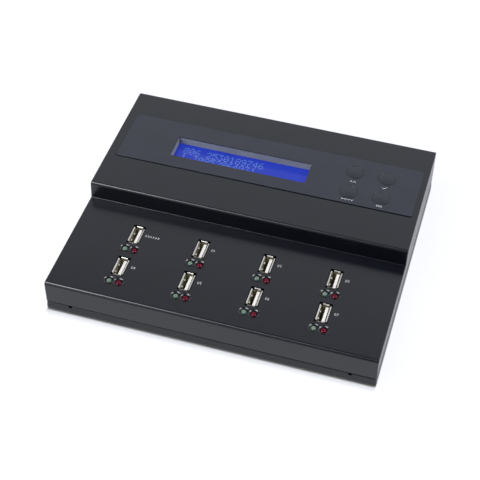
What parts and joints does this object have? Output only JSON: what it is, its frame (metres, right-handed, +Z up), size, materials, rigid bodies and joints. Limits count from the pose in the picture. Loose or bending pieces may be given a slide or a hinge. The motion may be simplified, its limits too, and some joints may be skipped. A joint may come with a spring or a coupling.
{
  "type": "usb flash drive duplicator",
  "caption": "Low desktop copier for flash drives: stepped steel case, upright sockets with green and red lamps, a blue character display, push buttons and a rear rocker switch.",
  "frame": {"origin": "bottom centre of the object, on the surface it stands on", "axes": "+X to the right along the long side, +Y from the front with the sockets to the back, +Z up"},
  "size_m": [0.201, 0.171, 0.0336],
  "materials": {
    "case_paint": "fine satin black paint over folded steel",
    "tray_paint": "fine satin black paint over folded steel",
    "foot_rubber": "matt black rubber",
    "screw_steel": "blackened steel",
    "socket_nickel": "bright nickel plate",
    "tongue_plastic": "white moulded plastic",
    "lens_green": "pale green glossy resin",
    "lens_red": "deep red glossy resin",
    "board_laminate": "green solder mask",
    "panel_film": "smooth dark grey film",
    "display_frame_plastic": "matt grey plastic",
    "display_glass": "blue display glass, polished",
    "backlight_plastic": "white diffuser",
    "ribbon_plastic": "grey flat cable",
    "button_film": "smooth dark grey film",
    "key_switch_plastic": "black moulded plastic",
    "inlet_plastic": "black moulded plastic",
    "switch_plastic": "glossy black moulded plastic",
    "rocker_plastic": "glossy black moulded plastic"
  },
  "bodies": {
    "chassis": {"top_cover": "case_paint", "bottom_tray": "tray_paint", "rubber_foot_1": "foot_rubber", "rubber_foot_2": "foot_rubber", "rubber_foot_3": "foot_rubber", "rubber_foot_4": "foot_rubber", "case_screw_1": "screw_steel", "case_screw_2": "screw_steel", "case_screw_3": "screw_steel", "case_screw_4": "screw_steel", "socket_shell_1": "socket_nickel", "socket_shell_2": "socket_nickel", "socket_shell_3": "socket_nickel", "socket_shell_4": "socket_nickel", "socket_shell_5": "socket_nickel", "socket_shell_6": "socket_nickel", "socket_shell_7": "socket_nickel", "socket_shell_8": "socket_nickel", "socket_tongue_1": "tongue_plastic", "socket_tongue_2": "tongue_plastic", "socket_tongue_3": "tongue_plastic", "socket_tongue_4": "tongue_plastic", "socket_tongue_5": "tongue_plastic", "socket_tongue_6": "tongue_plastic", "socket_tongue_7": "tongue_plastic", "socket_tongue_8": "tongue_plastic", "lamp_green_1": "lens_green", "lamp_green_2": "lens_green", "lamp_green_3": "lens_green", "lamp_green_4": "lens_green", "lamp_green_5": "lens_green", "lamp_green_6": "lens_green", "lamp_green_7": "lens_green", "lamp_green_8": "lens_green", "lamp_red_1": "lens_red", "lamp_red_2": "lens_red", "lamp_red_3": "lens_red", "lamp_red_4": "lens_red", "lamp_red_5": "lens_red", "lamp_red_6": "lens_red", "lamp_red_7": "lens_red", "lamp_red_8": "lens_red", "main_board": "board_laminate", "control_panel": "panel_film", "display_frame": "display_frame_plastic", "display_glass": "display_glass", "display_backlight": "backlight_plastic", "control_board": "board_laminate", "ribbon_cable": "ribbon_plastic", "key_switch_up": "key_switch_plastic", "key_switch_enter": "key_switch_plastic", "key_switch_down": "key_switch_plastic", "key_switch_back": "key_switch_plastic", "power_inlet": "inlet_plastic", "switch_body": "switch_plastic"},
    "up_button": {"button_up": "button_film"},
    "enter_button": {"button_enter": "button_film"},
    "down_button": {"button_down": "button_film"},
    "back_button": {"button_back": "button_film"},
    "power_rocker": {"switch_rocker": "rocker_plastic"}
  },
  "joints": [
    {"name": "up_press", "type": "slide", "parent": "chassis", "child": "up_button", "axis": [0, 0, -1], "range_m": [0, 0.0005], "stiffness_N_per_m": 1000, "springref_m": -0.0005},
    {"name": "enter_press", "type": "slide", "parent": "chassis", "child": "enter_button", "axis": [0, 0, -1], "range_m": [0, 0.0005], "stiffness_N_per_m": 1000, "springref_m": -0.0005},
    {"name": "down_press", "type": "slide", "parent": "chassis", "child": "down_button", "axis": [0, 0, -1], "range_m": [0, 0.0005], "stiffness_N_per_m": 1000, "springref_m": -0.0005},
    {"name": "back_press", "type": "slide", "parent": "chassis", "child": "back_button", "axis": [0, 0, -1], "range_m": [0, 0.0005], "stiffness_N_per_m": 1000, "springref_m": -0.0005},
    {"name": "rocker_tip", "type": "hinge", "parent": "chassis", "child": "power_rocker", "pos_m": [0.0603, 0.08251, 0.02], "axis": [0, 0, 1], "range_deg": [0, 22]}
  ]
}
